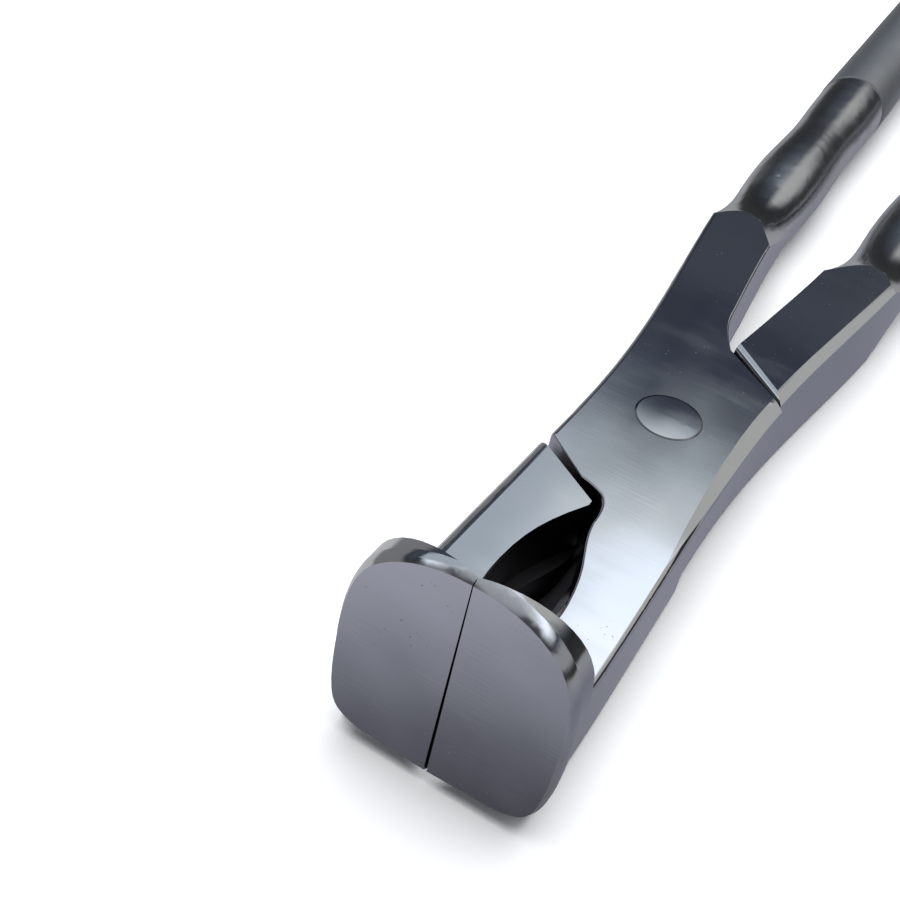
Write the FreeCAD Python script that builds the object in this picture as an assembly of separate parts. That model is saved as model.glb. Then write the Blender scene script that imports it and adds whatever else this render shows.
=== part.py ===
import FreeCAD, Part
import math
import os

from FreeCAD import Vector

# Driving dimensions, all in millimetres.
# +Y runs from the jaw face to the handles, +X is the side of the upper half's jaw, and +Z runs
# along the pivot. The origin is on the pivot axis, in the plane that the closed tool lies on.

THICKNESS = 16.0          # jaw arms, lap joint and shanks
LAP_GAP = 0.12            # between the two laps
LAP_Z = THICKNESS / 2     # middle of the lap joint
STOCK_R = 60.0            # larger than everything forward of the neck
RUN_OUT = 90.0            # how far the long edges run on past their outlines
RUN_OUT_SPLAY = 2.0       # and how far outwards they drift on the way back
OUTER_X = 11.0            # the long outer edges all lie further than this from the centre plane
OVERCUT = 1.0             # how far waste reaches past the surfaces that it cuts

FACE_Y = -63.6            # flat working face of the jaw plates
PLATE_DEPTH = 7.0         # stock that each plate is cut from
EDGE_THICKNESS = 1.0      # plate thickness at the cutting line
PLATE_SLOPE = 0.28        # how fast the plate thickens outwards
HEEL_TAPER = [(1.8, 0.0), (2.4, 12.0), (5.2, 27.0)]   # plate thickness outside the arm, by height
RIM_R = 3.0               # radius of the crowned rim of the plate
RIM_CUT = 1.2             # how much of that crown is cut off by the working face
EDGE_GAP = 0.12           # clearance between the closed cutting edges
BEVEL_TOP = 0.14          # opening in front of the cutting edges, at their top
BEVEL_BOTTOM = 0.48       # and at their bottom
BEVEL_DEPTH = 0.55        # how deep that opening is

RIVET_HEAD_R = 5.0
RIVET_SHANK_R = 3.4
RIVET_HEAD_DEPTH = 2.2
RIVET_PROUD = 0.15        # how far the crown of the peened head stands above the lap
RIVET_SHOULDER = 0.08     # how far the foot of its dome does
RIVET_BEVEL = 0.30        # width of the bevel round the dome
RIVET_RIM = 0.02          # how far the rim outside the bevel stands above the lap
RIVET_CLEARANCE = 0.05    # round the rivet in the lower half

EDGE_ROUND = 0.8          # rounding of the long outer edges
JAW_ROUND = 1.8           # rounding of the outer edge on the jaw arm's other face
TOE_RISE = 2.2            # how far the underside of the jaw arm rises to meet its plate
TOE_LENGTH = 9.0          # and over what length
SHOULDER_ROUND = 1.2      # rounding of the rear shoulder's edge
ROLL_R = 4.0              # radius of the rolled-over edges of the lap and the bar
INNER_ROUND = 0.35        # rounding of the lap's and the cavity's upper edges

SPINE_X = 10.33           # the handle's axis leaves the centre plane as
SPINE_SLOPE = 0.0263      # x = SPINE_X + SPINE_SLOPE * y
NECK_START = 74.0         # where the round neck begins inside the flat bar
NECK_END = 139.0          # where the grip sleeve starts
TANG_R = 5.6
TANG_LENGTH = 70.0
GRIP_LENGTH = 243.0
GRIP_R = 7.3
PLUG_DEPTH = 16.0
PLUG_DOME = 4.5
EDGE_BREAK = 0.6          # turned chamfers at the plug
SEAM_BREAK = 0.15         # chamfer of the sleeve at the seam

# Plan outlines of the upper half, whose jaw is on +X and whose handle is on -X.
JAW_OUTER = [(13.1, -61), (13.2, -50), (13.0, -38), (12.5, -22), (12.2, -5), (12.3, 6), (12.75, 14.0)]
BAR_OUTER = [(-18.2, 80), (-17.7, 66), (-16.7, 55), (-14.1, 34), (-12.2, 16), (-11.5, 2), (-11.5, -6),
             (-11.7, -14.4)]
JAW_INNER = [(4.7, -45), (4.5, -50), (3.6, -56), (1.6, -61)]
BAR_INNER = [(-2.4, 32), (-3.7, 43), (-5.1, 57), (-5.6, 80)]
LAP_FRONT = [(-11.7, -14.4), (-4.3, -19.9)]
LAP_NOTCH = [(-4.3, -19.9), (-2.2, -20.5), (-0.6, -21.4), (0.4, -23.3), (0.8, -26.8)]
LAP_INNER = [(0.8, -26.8), (1.5, -30.3), (3.2, -35.2), (4.3, -40), (4.7, -45)]
LAP_REAR = [(12.75, 14.0), (1.2, 22.0)]
LAP_CROTCH = [(1.2, 22.0), (-0.3, 24.9), (-1.55, 28), (-2.4, 32)]
FRONT_SHOULDER = [(1.1, -23.4), (11.7, -16.9)]
SHOULDER_INNER = [(1.0, -24.4), (2.9, -28.4), (4.4, -32.6), (5.4, -38), (5.6, -44), (5.0, -50),
                  (3.8, -56), (1.6, -61)]
REAR_SHOULDER = [(-1.3, 23.6), (-12.15, 14.7)]
SHOULDER_CROTCH = [(-1.3, 23.6), (-1.9, 28), (-2.4, 32)]

# How far outside each point of the outline the rolled-over edge starts: ROLL_R is no roll at all.
JAW_ROLL = [3.95, 3.9, 3.7, 2.8, 2.0, 1.8, 1.8]
BAR_ROLL = [2.6, 2.6, 2.4, 2.2, 2.1, 2.1, 2.1, 2.1]

# Web under the cavity of the lower half, which closes the throat behind the jaws.
THROAT_WEB = [(-3.3, -20.5), (0.4, -21.3), (0.7, -22.6), (0.7, -26.0), (0.4, -33.0), (-3.6, -36.0)]
WEB_HEIGHT = 6.0
WEB_TIP = 1.0             # its height at the front

# Outline of the upper half's jaw plate, as (x, z), from the top of the cutting line to its bottom.
FACE_RIM = [(0.0, 34.5), (5.0, 33.9), (9.6, 31.8), (12.8, 28.5), (14.4, 24.0), (15.0, 15.0), (14.6, 7.4),
            (13.4, 4.0), (11.0, 2.4), (7.5, 1.9)]
FACE_BOTTOM = [(7.5, 1.9), (0.0, 1.6)]

# Turned neck: distance along the tool and radius, from the end of the flat bar to the grip.
NECK_PROFILE = [(50, 13.2), (56, 10.4), (61, 8.8), (66, 7.5), (71, 6.7), (76, 6.4), (84, 6.75), (94, 7.15),
                (106, 6.9), (115, 6.65), (127, 6.95), (NECK_END, 7.1)]


def vec(x, y, z=0.0):
    return Vector(x, y, z)


def line(start, end):
    return Part.makeLine(vec(*start), vec(*end))


def curve(points):
    spline = Part.BSplineCurve()
    spline.interpolate([vec(x, y) for x, y in points])
    return spline.toShape()


def prism(edges, z_low, z_high):
    face = Part.Face(Part.Wire(Part.__sortEdges__(edges)))
    face.translate(vec(0, 0, z_low))
    return face.extrude(vec(0, 0, z_high - z_low))


def rim_edges(shape, z, near):
    """Edges of the shape in the plane z whose middle passes the test near(x, y)."""
    found = []
    for edge in shape.Edges:
        box = edge.BoundBox
        middle = edge.CenterOfMass
        if abs(box.ZMin - z) < 0.001 and abs(box.ZMax - z) < 0.001 and near(middle.x, middle.y):
            found.append(edge)
    return found


def upper_layer():
    """Everything of the upper half above the lap plane: lap, jaw arm and flat bar."""
    edges = [
        line(*LAP_FRONT), curve(LAP_NOTCH), curve(LAP_INNER), curve(JAW_INNER),
        line(JAW_INNER[-1], JAW_OUTER[0]), curve(JAW_OUTER), line(*LAP_REAR), curve(LAP_CROTCH),
        curve(BAR_INNER), line(BAR_INNER[-1], BAR_OUTER[0]), curve(BAR_OUTER),
    ]
    return prism(edges, LAP_Z + LAP_GAP / 2, THICKNESS)


def behind(start, end):
    """Waste that covers everything to the left of the line from start towards end, seen from above."""
    length = math.hypot(end[0] - start[0], end[1] - start[1])
    step = (STOCK_R * (end[0] - start[0]) / length, STOCK_R * (end[1] - start[1]) / length)
    corners = [(start[0] - step[0], start[1] - step[1]), (start[0] + step[0], start[1] + step[1])]
    corners.append((corners[1][0] - 2 * step[1], corners[1][1] + 2 * step[0]))
    corners.append((corners[0][0] - 2 * step[1], corners[0][1] + 2 * step[0]))
    return prism([line(corners[i - 1], corners[i]) for i in range(4)], -OVERCUT, THICKNESS)


def rolled(outline, starts, side, z_edge, radius):
    """Stock whose long edge at the height z_edge is rounded, from a given distance outside the outline.

    The side is +1 or -1 in x.
    """
    edge = [(x + side * start, y) for (x, y), start in zip(outline, starts)]
    first, last = edge[0], edge[-1]
    far = -side * STOCK_R
    run_out = RUN_OUT if last[1] > first[1] else -RUN_OUT
    ahead = (first[0], first[1] - run_out)
    beyond = (last[0] + side * RUN_OUT_SPLAY, last[1] + run_out)
    edges = [line(ahead, first), curve(edge), line(last, beyond), line(beyond, (far, beyond[1])),
             line((far, beyond[1]), (far, ahead[1])), line((far, ahead[1]), ahead)]
    block = prism(edges, 0, THICKNESS)
    return block.makeFillet(radius, rim_edges(block, z_edge, lambda x, y: side * x > OUTER_X))


def lower_jaw():
    """The jaw arm below the lap plane, ending at the front shoulder."""
    tip = SHOULDER_INNER[0]
    back = (tip[0], JAW_OUTER[-1][1])
    edges = [
        curve(JAW_OUTER), line(JAW_OUTER[-1], back), line(back, tip),
        curve(SHOULDER_INNER), line(SHOULDER_INNER[-1], JAW_OUTER[0]),
    ]
    return prism(edges, 0, LAP_Z + LAP_GAP / 2).cut(behind(*FRONT_SHOULDER))


def lower_bar():
    """The flat bar below the lap plane, starting at the rear shoulder."""
    tip = SHOULDER_CROTCH[0]
    front = (tip[0], BAR_OUTER[-1][1])
    edges = [
        curve(BAR_OUTER), line(BAR_OUTER[-1], front), line(front, tip), curve(SHOULDER_CROTCH),
        curve(BAR_INNER), line(BAR_INNER[-1], BAR_OUTER[0]),
    ]
    return prism(edges, 0, LAP_Z + LAP_GAP / 2).cut(behind(*REAR_SHOULDER))


def on_handle_axis(shape):
    """Place a shape built along +Y from the origin on the axis of the upper half's handle."""
    angle = math.degrees(math.atan(SPINE_SLOPE))
    placed = shape.copy()
    placed.rotate(vec(0, 0), vec(0, 0, 1), angle)
    placed.translate(vec(-SPINE_X, 0, LAP_Z))
    return placed


def turned(points):
    """Revolve a closed profile of (radius, distance along the handle) about the handle's axis."""
    edges = [line(points[i], points[(i + 1) % len(points)]) for i in range(len(points))]
    face = Part.Face(Part.Wire(edges))
    return on_handle_axis(face.revolve(vec(0, 0), vec(0, 1), 360))


def turned_stock():
    """The envelope that the lathe leaves: open in front of the bar's end, the waved neck behind it."""
    neck = curve([(radius, y) for y, radius in NECK_PROFILE])
    first_y, first_r = NECK_PROFILE[0]
    corners = [(first_r, first_y), (STOCK_R, first_y), (STOCK_R, -2 * STOCK_R), (0, -2 * STOCK_R),
               (0, NECK_END), (NECK_PROFILE[-1][1], NECK_END)]
    edges = [line(corners[i], corners[i + 1]) for i in range(len(corners) - 1)] + [neck]
    face = Part.Face(Part.Wire(Part.__sortEdges__(edges)))
    return on_handle_axis(face.revolve(vec(0, 0), vec(0, 1), 360))


def neck():
    """The round part of the stock, from inside the bar to the grip, with the tang for the sleeve."""
    stock = turned_stock()
    slab = Part.makeBox(2 * STOCK_R, NECK_END, 2 * STOCK_R, vec(-2 * STOCK_R, NECK_START, -STOCK_R))
    tang_end = NECK_END + TANG_LENGTH
    tang = turned([(0, NECK_START), (TANG_R, NECK_START), (TANG_R, tang_end), (0, tang_end)])
    return stock.common(slab).fuse(tang)


def side_prism(points, x_low, x_high):
    """Prism along X over a polygon of (y, z) points."""
    corners = [vec(x_low, y, z) for y, z in points]
    return Part.Face(Part.makePolygon(corners + corners[:1])).extrude(vec(x_high - x_low, 0, 0))


def plate():
    """Jaw plate of the upper half: flat in front, wedge-shaped towards the cutting line and the heel."""
    edges = [curve(FACE_RIM), line(*FACE_BOTTOM), line(FACE_BOTTOM[-1], FACE_RIM[0])]
    body = prism(edges, 0, PLATE_DEPTH + RIM_CUT)
    rim = rim_edges(body, PLATE_DEPTH + RIM_CUT, lambda x, z: x > EDGE_THICKNESS)
    body = body.makeFillet(RIM_R, rim)
    body = body.common(Part.makeBox(STOCK_R, STOCK_R, PLATE_DEPTH))
    body.rotate(vec(0, 0), vec(1, 0, 0), 90)
    body.translate(vec(0, FACE_Y + PLATE_DEPTH, 0))
    edge_y = FACE_Y + EDGE_THICKNESS
    side_y = edge_y + PLATE_SLOPE * STOCK_R
    corners = [(-OVERCUT, edge_y), (0, edge_y), (STOCK_R, side_y), (STOCK_R, STOCK_R), (-OVERCUT, STOCK_R)]
    back = prism([line(corners[i - 1], corners[i]) for i in range(5)], -STOCK_R, STOCK_R)
    taper = [(FACE_Y + thickness, z) for thickness, z in HEEL_TAPER]
    heel = side_prism(taper + [(FACE_Y + STOCK_R, taper[-1][1]), (FACE_Y + STOCK_R, 0)], 0, STOCK_R)
    return body.cut(back).cut(heel)


def cutting_gap():
    """Waste between the plates: a fine clearance, opened towards the face by a bevel on each edge."""
    top = FACE_RIM[0][1]
    front = FACE_Y - OVERCUT
    back = FACE_Y + BEVEL_DEPTH
    slit = Part.makeBox(STOCK_R + EDGE_GAP / 2, STOCK_R, 2 * top, vec(-STOCK_R, front, -top / 2))
    sections = []
    for z, opening in ((0, BEVEL_BOTTOM), (top, BEVEL_TOP)):
        corners = [(-OVERCUT, front), (opening / 2, front), (opening / 2, FACE_Y), (EDGE_GAP / 2, back),
                   (-OVERCUT, back), (-OVERCUT, front)]
        sections.append(Part.makePolygon([vec(x, y, z) for x, y in corners]))
    return slit.fuse(Part.makeLoft(sections, True, True))


def toe_relief():
    """Waste under the front of the jaw arm, which rises towards the lower rim of the plate."""
    toe_y = JAW_OUTER[0][1] - OVERCUT
    waste = [(toe_y, -OVERCUT), (toe_y, TOE_RISE), (toe_y + OVERCUT, TOE_RISE),
             (toe_y + OVERCUT + TOE_LENGTH, 0), (toe_y + OVERCUT + TOE_LENGTH, -OVERCUT)]
    return side_prism(waste, -STOCK_R, STOCK_R)


def throat_web():
    """Web that closes the throat of the lower half under the cavity, sloping down towards the plates."""
    edges = [line(THROAT_WEB[i - 1], THROAT_WEB[i]) for i in range(len(THROAT_WEB))]
    back = max(y for _, y in THROAT_WEB)
    front = min(y for _, y in THROAT_WEB)
    waste = [(back, WEB_HEIGHT), (front, WEB_TIP), (front, THICKNESS), (back, THICKNESS)]
    return prism(edges, 0, WEB_HEIGHT).cut(side_prism(waste, -STOCK_R, STOCK_R))


def in_front(x, y):
    """True on the upper edges of the lap's front and of the cavity."""
    (left, front), (right, back) = LAP_FRONT[0], LAP_INNER[-1]
    return left < x < right and back < y < front


def in_crotch(x, y):
    """True on the upper edges of the crotch and of the bar's inner side."""
    return BAR_INNER[-1][0] < x < LAP_CROTCH[0][0] and y > LAP_CROTCH[0][1]


def on_rear_shoulder(x, y):
    """True on the lower edge of the rear shoulder."""
    (right, back), (left, front) = REAR_SHOULDER
    return left < x < right and front < y < back


def forging():
    """One half without its plate and pivot hole, as the upper half."""
    top = upper_layer()
    top = top.makeFillet(EDGE_ROUND, rim_edges(top, THICKNESS, lambda x, y: x < -OUTER_X and y < NECK_START))
    top = top.common(rolled(JAW_OUTER, JAW_ROLL, 1, THICKNESS, ROLL_R))
    top = top.common(rolled(JAW_OUTER, [0] * len(JAW_OUTER), 1, THICKNESS, EDGE_ROUND))
    for is_inner in (in_front, in_crotch):
        top = top.makeFillet(INNER_ROUND, rim_edges(top, THICKNESS, is_inner))
    jaw = lower_jaw()
    jaw = jaw.makeFillet(JAW_ROUND, rim_edges(jaw, 0, lambda x, y: x > OUTER_X)).cut(toe_relief())
    bar = lower_bar()
    bar = bar.makeFillet(SHOULDER_ROUND, rim_edges(bar, 0, on_rear_shoulder))
    bar = bar.common(rolled(BAR_OUTER, BAR_ROLL, -1, 0, ROLL_R))
    flat = top.fuse([jaw, bar]).removeSplitter()
    return flat.common(turned_stock()).fuse(neck()).removeSplitter()


def other_side(shape):
    """Turn the upper half over about +Y, which makes the lower half of it."""
    turned_over = shape.copy()
    turned_over.rotate(vec(0, 0, LAP_Z), vec(0, 1, 0), 180)
    return turned_over


def mirrored(shape):
    return shape.mirror(vec(0, 0), vec(1, 0, 0))


def upright_cylinder(radius, z_low, z_high):
    return Part.makeCylinder(radius, z_high - z_low, vec(0, 0, z_low))


def dome_arc(rim_r, foot, rise):
    """Arc over a dome, from rim to crown, in its profile of (radius, distance along the axis)."""
    dome_r = (rim_r ** 2 + rise ** 2) / (2 * rise)
    half_way = math.asin(rim_r / dome_r) / 2
    middle = vec(dome_r * math.sin(half_way), foot + rise - dome_r * (1 - math.cos(half_way)))
    return Part.Arc(vec(rim_r, foot), middle, vec(0, foot + rise)).toShape()


def pivot_rivet():
    """Rivet with a shallow domed head on top and a flush foot."""
    low = THICKNESS - RIVET_HEAD_DEPTH
    rim = THICKNESS + RIVET_RIM
    foot = THICKNESS + RIVET_SHOULDER
    dome_r = RIVET_HEAD_R - RIVET_BEVEL
    crown = THICKNESS + RIVET_PROUD
    edges = [line((0, low), (RIVET_HEAD_R, low)), line((RIVET_HEAD_R, low), (RIVET_HEAD_R, rim)),
             line((RIVET_HEAD_R, rim), (dome_r, foot)), dome_arc(dome_r, foot, crown - foot),
             line((0, crown), (0, low))]
    head = Part.Face(Part.Wire(edges)).revolve(vec(0, 0), vec(0, 1), 360)
    head.rotate(vec(0, 0), vec(1, 0, 0), 90)
    shank = upright_cylinder(RIVET_SHANK_R, 0, THICKNESS)
    base = upright_cylinder(RIVET_HEAD_R, 0, RIVET_HEAD_DEPTH)
    return head.fuse([shank, base]).removeSplitter()


def upper_bore():
    bore = upright_cylinder(RIVET_SHANK_R, -OVERCUT, THICKNESS + OVERCUT)
    return bore.fuse(upright_cylinder(RIVET_HEAD_R, THICKNESS - RIVET_HEAD_DEPTH, THICKNESS + OVERCUT))


def lower_bore():
    bore = upright_cylinder(RIVET_SHANK_R + RIVET_CLEARANCE, -OVERCUT, THICKNESS + OVERCUT)
    seat = upright_cylinder(RIVET_HEAD_R + RIVET_CLEARANCE, -OVERCUT, RIVET_HEAD_DEPTH + RIVET_CLEARANCE)
    return bore.fuse(seat)


def grip():
    """Satin tube over the tang."""
    end = NECK_END + GRIP_LENGTH
    return turned([(TANG_R, NECK_END), (GRIP_R - SEAM_BREAK, NECK_END), (GRIP_R, NECK_END + SEAM_BREAK),
                   (GRIP_R, end - EDGE_BREAK), (GRIP_R - EDGE_BREAK, end), (TANG_R, end)])


def end_plug():
    """Domed plug that closes the grip's tube."""
    end = NECK_END + GRIP_LENGTH
    inner = end - PLUG_DEPTH
    rim = GRIP_R - EDGE_BREAK
    foot = end + EDGE_BREAK
    edges = [line((0, inner), (TANG_R, inner)), line((TANG_R, inner), (TANG_R, end)),
             line((TANG_R, end), (rim, end)), line((rim, end), (rim, foot)),
             dome_arc(rim, foot, PLUG_DOME - EDGE_BREAK),
             line((0, end + PLUG_DOME), (0, inner))]
    face = Part.Face(Part.Wire(edges))
    return on_handle_axis(face.revolve(vec(0, 0), vec(0, 1), 360))


def build():
    half = forging()
    right_plate = plate().cut(cutting_gap())
    left_plate = mirrored(right_plate)
    upper = half.fuse(right_plate).removeSplitter()
    lower = other_side(half).fuse([left_plate, throat_web()]).removeSplitter()
    return {
        "upper_half": upper.cut(upper_bore()),
        "lower_half": lower.cut(lower_bore()),
        "pivot_rivet": pivot_rivet(),
        "upper_grip_sleeve": grip(),
        "lower_grip_sleeve": other_side(grip()),
        "upper_grip_plug": end_plug(),
        "lower_grip_plug": other_side(end_plug()),
    }


def main():
    os.makedirs("parts", exist_ok=True)
    for name, shape in build().items():
        print(name, "valid", shape.isValid(), "solids", len(shape.Solids), "volume", round(shape.Volume, 1))
        shape.exportStep("parts/" + name + ".step")


main()
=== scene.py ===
import math

import bpy
from mathutils import Matrix, Vector

MM = 0.001

# Camera, in the object's own frame: where it aims, from which side, how far off, and its roll.
AIM = Vector((-24.44, -17.95, 7.33)) * MM
CAMERA_AZIMUTH = 22.23
CAMERA_ELEVATION = 40.36
CAMERA_ROLL = 12.68
CAMERA_DISTANCE = 200.74 * MM
LENS = 56.3
SENSOR_WIDTH = 36.0
CLIP_START = 10.0 * MM

# Studio light by elevation in degrees, as (elevation, (red, green, blue)): SKY is behind the tool, on the +Y
# side, and FRONT_SKY in front of it. Polished flats mirror it. The stops were typed by hand, but many follow
# figures that a scratch script worked out from the photograph, so the light is fitted and not plain.
SKY = [
    (-90, (0.08, 0.08, 0.09)), (-56, (0.18, 0.18, 0.20)), (-45, (0.26, 0.27, 0.32)),
    (-32, (0.23, 0.24, 0.29)), (-14, (0.36, 0.37, 0.40)), (-8, (0.36, 0.36, 0.37)),
    (-3, (0.05, 0.05, 0.05)), (14, (0.03, 0.03, 0.033)), (26, (0.05, 0.06, 0.08)),
    (30.5, (0.08, 0.09, 0.115)), (33, (0.045, 0.052, 0.075)), (35.2, (0.05, 0.06, 0.09)),
    (36.5, (0.20, 0.22, 0.25)), (38, (0.42, 0.47, 0.51)), (39.5, (0.70, 0.77, 0.80)),
    (41.5, (0.95, 1.0, 1.04)), (43, (1.3, 1.42, 1.58)), (46, (1.5, 1.6, 1.75)),
    (51, (1.3, 1.4, 1.5)), (58, (0.75, 0.79, 0.84)), (72, (0.52, 0.54, 0.58)),
    (90, (0.48, 0.50, 0.53)),
]
FRONT_SKY = [
    (-90, (0.03, 0.03, 0.04)), (-56, (0.05, 0.05, 0.06)), (-52.2, (0.13, 0.13, 0.155)),
    (-50, (0.24, 0.25, 0.29)), (-47, (0.42, 0.43, 0.50)), (-44, (0.50, 0.50, 0.58)),
    (-30, (0.40, 0.40, 0.46)), (-8, (0.14, 0.14, 0.15)), (6, (0.04, 0.04, 0.04)),
    (40, (0.06, 0.06, 0.065)), (62, (0.10, 0.10, 0.11)), (75, (0.40, 0.42, 0.45)),
    (90, (0.48, 0.50, 0.53)),
]
SKY_BLEND = 0.25          # the two skies blend where a direction's y is within this of 0
CLOUD_SCALE = (9, 5, 16)
CLOUD_LIFT = 0.12         # soft clouds shift the sky above the horizon by up to half this, in radians

# Soft panels hung in that studio, in degrees: azimuth from and to, from +Y towards +X, elevation from and to,
# softness of their edges, and colour. The last two run past 180 degrees, so they meet at -Y without a gap.
# The second panel's colour is one of those figures too.
PANELS = [
    ((0, 42), (21, 47), 6.0, (0.56, 0.56, 0.54, 1)),
    ((-80, -15.5), (36, 60), 3.5, (0.52, 0.59, 0.66, 1)),
    ((-120, -36), (-8, 22), 4.0, (0.25, 0.25, 0.26, 1)),
    ((-80, -30), (-45, -12), 3.5, (0.60, 0.60, 0.63, 1)),
    ((60, 140), (6, 30), 6.0, (0.36, 0.37, 0.39, 1)),
    ((140, 200), (8, 56), 6.0, (0.42, 0.44, 0.47, 1)),
    ((-200, -105), (8, 56), 6.0, (0.42, 0.44, 0.47, 1)),
]

FLOOR_SIZE = 40.0
FLOOR_DROP = 0.2 * MM     # how far the floor lies under the tool
LAMP_SIZE = 1.6
LAMP_ENERGY = 27.0
LAMP_PLACE = (-0.2, 0.1, 1.3)

# Finish of the polished steel, with the shade painted into its corners, gaps and the rivet's groove.
BRUSH_TURN = -20.0        # direction of the brush marks, in degrees
BRUSH_STRENGTH = 0.10
BRUSH_DEPTH = 0.02 * MM
SWELL_STRENGTH = 0.5      # slight unevenness left by polishing by hand
SWELL_DEPTH = 0.25 * MM
PIT_COLOR = (0.12, 0.115, 0.11, 1)
# Painted shade for the groove round the rivet's rim.
SEAM_SHADE_COLOR = (0.03, 0.03, 0.032, 1)
# Painted shade: the dark colour put in corners, gaps and the jaw cavity.
PAINTED_SHADE_COLOR = (0.075, 0.070, 0.072, 1)
CREVICE_REACH = 5.0 * MM
CAVITY_HALF_WIDTH = 6.4 * MM
CAVITY_LENGTH = (-61.0 * MM, -19.0 * MM)
CAVITY_RIM = (14.9 * MM, 15.7 * MM)
RIVET_SEAM = (4.60 * MM, 4.80 * MM)     # radii between which the rivet's rim turns dark
NECK_DULLING = (60.0 * MM, 85.0 * MM)   # where along the tool the finish gets duller, towards the grips

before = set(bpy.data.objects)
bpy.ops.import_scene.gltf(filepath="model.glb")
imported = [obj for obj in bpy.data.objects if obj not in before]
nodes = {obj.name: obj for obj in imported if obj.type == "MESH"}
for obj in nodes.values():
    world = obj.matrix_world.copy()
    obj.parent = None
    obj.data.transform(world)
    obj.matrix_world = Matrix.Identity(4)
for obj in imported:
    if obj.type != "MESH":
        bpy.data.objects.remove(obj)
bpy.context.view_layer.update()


class Graph:
    """Short calls for building one node tree."""

    def __init__(self, tree):
        self.tree = tree

    def node(self, kind, inputs=None, **settings):
        made = self.tree.nodes.new(kind)
        for key, value in settings.items():
            setattr(made, key, value)
        for key, value in (inputs or {}).items():
            self.feed(made.inputs[key], value)
        return made

    def feed(self, socket, value):
        if isinstance(value, bpy.types.NodeSocket):
            self.tree.links.new(value, socket)
        else:
            socket.default_value = value

    def math(self, operation, first, second=0.0, third=0.0):
        made = self.node("ShaderNodeMath", operation=operation)
        for socket, value in zip(made.inputs, (first, second, third)):
            self.feed(socket, value)
        return made.outputs[0]

    def times(self, first, second):
        return self.math("MULTIPLY", first, second)

    def plus(self, first, second):
        return self.math("ADD", first, second)

    def remap(self, value, low, high, to_low=0.0, to_high=1.0):
        ends = {"From Min": low, "From Max": high, "To Min": to_low, "To Max": to_high}
        made = self.node("ShaderNodeMapRange", {"Value": value, **ends}, interpolation_type="SMOOTHSTEP")
        return made.outputs[0]

    def mix(self, factor, first, second):
        made = self.node("ShaderNodeMix", {0: factor}, data_type="RGBA")
        self.feed(made.inputs[6], first)
        self.feed(made.inputs[7], second)
        return made.outputs[2]

    def noise(self, vector, scale, detail=2.0, roughness=0.5):
        inputs = {"Vector": vector, "Scale": scale, "Detail": detail, "Roughness": roughness}
        return self.node("ShaderNodeTexNoise", inputs).outputs[0]

    def stretched(self, vector, scale, turn=0.0):
        inputs = {"Vector": vector, "Rotation": (0, 0, math.radians(turn)), "Scale": scale}
        return self.node("ShaderNodeMapping", inputs).outputs[0]

    def axes(self, vector):
        return self.node("ShaderNodeSeparateXYZ", {"Vector": vector}).outputs


def new_material(name):
    material = bpy.data.materials.new(name)
    material.use_nodes = True
    return material, Graph(material.node_tree), material.node_tree.nodes["Principled BSDF"]


def band(graph, value, low, high, soft):
    """1 between low and high, 0 outside, with soft ends."""
    rise = graph.remap(value, low - soft, low + soft)
    fall = graph.remap(value, high - soft, high + soft, 1.0, 0.0)
    return graph.times(rise, fall)


def pitting(graph, place):
    """Fine pits, which come in a few loose groups."""
    spots = graph.remap(graph.noise(place, 2600.0, 1.0), 0.75, 0.78)
    groups = graph.remap(graph.noise(place, 160.0), 0.52, 0.62)
    return graph.times(spots, groups)


def occlusion_shade(graph):
    """1 deep in corners and gaps, 0 on open surfaces: the occlusion mask for painted shade."""
    inputs = {"Distance": CREVICE_REACH}
    closeness = graph.node("ShaderNodeAmbientOcclusion", inputs, samples=6).outputs["AO"]
    return graph.remap(closeness, 0.25, 0.66, 1.0, 0.0)


def cavity_shade(graph, axes):
    """1 inside the cavity between the jaw arms, below its upper rim, where painted shade goes."""
    across = band(graph, axes[0], -CAVITY_HALF_WIDTH, CAVITY_HALF_WIDTH, 0.6 * MM)
    along = band(graph, axes[1], *CAVITY_LENGTH, 1.0 * MM)
    below = graph.remap(axes[2], *CAVITY_RIM, 1.0, 0.0)
    return graph.times(graph.times(across, along), below)


def rivet_seam_shade(graph, place):
    """1 in the painted shade line in the groove round the rivet's rim."""
    flat = graph.stretched(place, (1, 1, 0))
    radius = graph.node("ShaderNodeVectorMath", {0: flat}, operation="LENGTH").outputs[1]
    return graph.remap(radius, *RIVET_SEAM)


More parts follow.
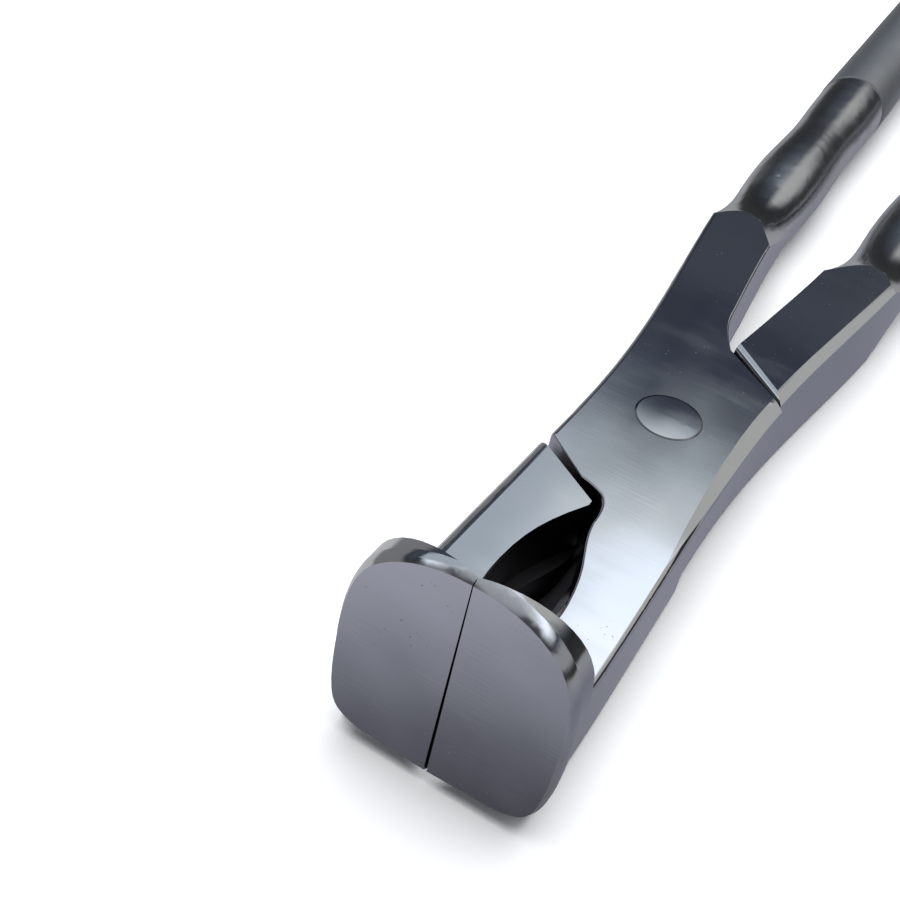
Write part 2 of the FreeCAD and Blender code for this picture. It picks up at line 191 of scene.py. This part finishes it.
def steel(name, tint, dark_tint, gloss, is_rivet):
    """Polished steel: brush marks, faint smears, pits, and painted shade with duller roughness in corners,
    gaps and the jaw cavity.
    """
    material, graph, shader = new_material(name)
    place = graph.node("ShaderNodeTexCoord").outputs["Object"]
    axes = graph.axes(place)
    streaks = graph.noise(graph.stretched(place, (90, 2600, 2600), BRUSH_TURN), 1.0, 3.0, 0.6)
    smear = graph.noise(graph.stretched(place, (60, 220, 160), BRUSH_TURN), 1.0, 3.0, 0.55)
    patches = graph.remap(graph.noise(place, 95.0, 2.0), 0.42, 0.62)
    pits = pitting(graph, place)
    # Painted shade mask from occlusion, for corners and gaps; it also makes them rougher.
    shade_and_dulling = occlusion_shade(graph)

    color = graph.mix(graph.times(smear, 0.25), tint, dark_tint)
    color = graph.mix(graph.times(pits, 0.35), color, PIT_COLOR)
    if is_rivet:
        # Painted shade line in the groove round the rivet's rim.
        color = graph.mix(graph.times(rivet_seam_shade(graph, place), 0.8), color, SEAM_SHADE_COLOR)
    else:
        shade_and_dulling = graph.math("MAXIMUM", shade_and_dulling, cavity_shade(graph, axes))
    # Paint the shade into corners, gaps and the jaw cavity.
    color = graph.mix(shade_and_dulling, color, PAINTED_SHADE_COLOR)

    rough = graph.remap(smear, 0.35, 0.8, gloss, gloss + 0.07)
    rough = graph.plus(rough, graph.times(patches, 0.02))
    rough = graph.plus(rough, graph.times(shade_and_dulling, 0.32))
    rough = graph.plus(rough, graph.times(pits, 0.3))
    rough = graph.plus(rough, graph.remap(axes[1], *NECK_DULLING, 0.0, 0.13))

    height = graph.times(streaks, graph.plus(0.25, graph.times(patches, 0.75)))
    height = graph.math("SUBTRACT", height, graph.times(pits, 1.2))
    bump = graph.node("ShaderNodeBump",
                      {"Height": height, "Strength": BRUSH_STRENGTH, "Distance": BRUSH_DEPTH})
    waves = graph.noise(graph.stretched(place, (70, 45, 45), BRUSH_TURN), 1.0, 1.0)
    swell = graph.node("ShaderNodeBump", {"Height": waves, "Strength": SWELL_STRENGTH,
                                          "Distance": SWELL_DEPTH, "Normal": bump.outputs[0]})
    graph.feed(shader.inputs["Base Color"], color)
    graph.feed(shader.inputs["Roughness"], rough)
    graph.feed(shader.inputs["Normal"], swell.outputs[0])
    shader.inputs["Metallic"].default_value = 1.0
    return material


def satin(name, tint, dark_tint):
    """Blasted steel of the grips: fine grain, slightly darker in soft clouds."""
    material, graph, shader = new_material(name)
    place = graph.node("ShaderNodeTexCoord").outputs["Object"]
    grain = graph.noise(place, 5200.0, 2.0)
    cloud = graph.noise(graph.stretched(place, (120, 35, 120)), 1.0, 3.0)
    bump = graph.node("ShaderNodeBump", {"Height": grain, "Strength": 0.25, "Distance": 0.03 * MM})
    graph.feed(shader.inputs["Base Color"], graph.mix(graph.remap(cloud, 0.35, 0.7), tint, dark_tint))
    graph.feed(shader.inputs["Roughness"], graph.remap(cloud, 0.3, 0.7, 0.44, 0.54))
    graph.feed(shader.inputs["Normal"], bump.outputs[0])
    shader.inputs["Metallic"].default_value = 1.0
    return material


def dress(material, *names):
    """Give the named CAD nodes this material alone."""
    for name in names:
        mesh = nodes[name].data
        mesh.materials.clear()
        mesh.materials.append(material)


def dress_all():
    forged = steel("polished_steel", (0.62, 0.63, 0.65, 1), (0.50, 0.50, 0.51, 1), 0.05, False)
    rivet = steel("rivet_steel", (0.60, 0.61, 0.63, 1), (0.48, 0.48, 0.49, 1), 0.07, True)
    blasted = satin("satin_steel", (0.52, 0.53, 0.55, 1), (0.42, 0.43, 0.445, 1))
    dress(forged, "upper_half", "lower_half")
    dress(rivet, "pivot_rivet")
    dress(blasted, "upper_grip_sleeve", "lower_grip_sleeve", "upper_grip_plug", "lower_grip_plug")


def make_floor():
    """Pale paper floor, which the steel doesn't mirror."""
    bpy.ops.mesh.primitive_plane_add(size=FLOOR_SIZE, location=(0, 0, -FLOOR_DROP))
    floor = bpy.context.object
    floor.name = "floor"
    material, _, shader = new_material("floor_paper")
    shader.inputs["Base Color"].default_value = (0.90, 0.90, 0.90, 1)
    shader.inputs["Roughness"].default_value = 0.9
    shader.inputs["Specular IOR Level"].default_value = 0.1
    floor.data.materials.append(material)
    floor.visible_glossy = False


def sky_ramp(graph, elevation, stops):
    """Colour of the studio by elevation, which comes in radians."""
    share = graph.math("MULTIPLY_ADD", elevation, 1 / math.pi, 0.5)
    ramp = graph.node("ShaderNodeValToRGB", {0: share})
    elements = ramp.color_ramp.elements
    while len(elements) > 1:
        elements.remove(elements[-1])
    for index, (degrees, color) in enumerate(stops):
        position = (degrees + 90) / 180
        element = elements[0] if index == 0 else elements.new(position)
        element.position = position
        element.color = (*color, 1)
    return ramp.outputs[0]


def hang_panel(graph, light, turn, height, panel):
    """The light with one soft panel in it."""
    azimuths, elevations, softness, color = panel
    across = band(graph, turn, *map(math.radians, azimuths), math.radians(softness))
    along = band(graph, height, *map(math.radians, elevations), math.radians(softness))
    return graph.mix(graph.times(across, along), light, color)


def make_world():
    world = bpy.data.worlds.new("studio")
    bpy.context.scene.world = world
    world.use_nodes = True
    world.node_tree.nodes.clear()
    graph = Graph(world.node_tree)
    aim = graph.node("ShaderNodeTexCoord").outputs["Generated"]
    axes = graph.axes(aim)
    turn = graph.math("ARCTAN2", axes[0], axes[1])
    clouds = graph.math("SUBTRACT", graph.noise(graph.stretched(aim, CLOUD_SCALE), 1.0, 3.0), 0.5)
    lift = graph.times(graph.remap(axes[2], 0.05, 0.4), CLOUD_LIFT)
    height = graph.plus(graph.math("ARCSINE", axes[2]), graph.times(clouds, lift))
    behind = graph.remap(axes[1], -SKY_BLEND, SKY_BLEND)
    light = graph.mix(behind, sky_ramp(graph, height, FRONT_SKY), sky_ramp(graph, height, SKY))
    for panel in PANELS:
        light = hang_panel(graph, light, turn, height, panel)
    background = graph.node("ShaderNodeBackground", {"Color": light})
    out = graph.node("ShaderNodeOutputWorld")
    graph.feed(out.inputs["Surface"], background.outputs[0])


def make_floor_light():
    """Broad overhead light for the floor, which the steel doesn't mirror."""
    lamp = bpy.data.lights.new("overhead", "AREA")
    lamp.shape = "DISK"
    lamp.size = LAMP_SIZE
    lamp.energy = LAMP_ENERGY
    holder = bpy.data.objects.new("overhead", lamp)
    holder.location = LAMP_PLACE
    holder.visible_glossy = False
    bpy.context.scene.collection.objects.link(holder)


def make_camera():
    azimuth = math.radians(CAMERA_AZIMUTH)
    elevation = math.radians(CAMERA_ELEVATION)
    roll = math.radians(CAMERA_ROLL)
    back = Vector((math.sin(azimuth) * math.cos(elevation), -math.cos(azimuth) * math.cos(elevation),
                   math.sin(elevation)))
    level = Vector((math.cos(azimuth), math.sin(azimuth), 0))
    above = back.cross(level)
    right = level * math.cos(roll) + above * math.sin(roll)
    up = above * math.cos(roll) - level * math.sin(roll)
    camera = bpy.data.objects.new("camera", bpy.data.cameras.new("camera"))
    camera.data.lens = LENS
    camera.data.sensor_width = SENSOR_WIDTH
    camera.data.clip_start = CLIP_START
    turn = Matrix((right, up, back)).transposed().to_4x4()
    camera.matrix_world = Matrix.Translation(AIM + back * CAMERA_DISTANCE) @ turn
    bpy.context.scene.collection.objects.link(camera)
    bpy.context.scene.camera = camera


dress_all()
make_floor()
make_world()
make_floor_light()
make_camera()
bpy.context.scene.view_settings.view_transform = "Standard"
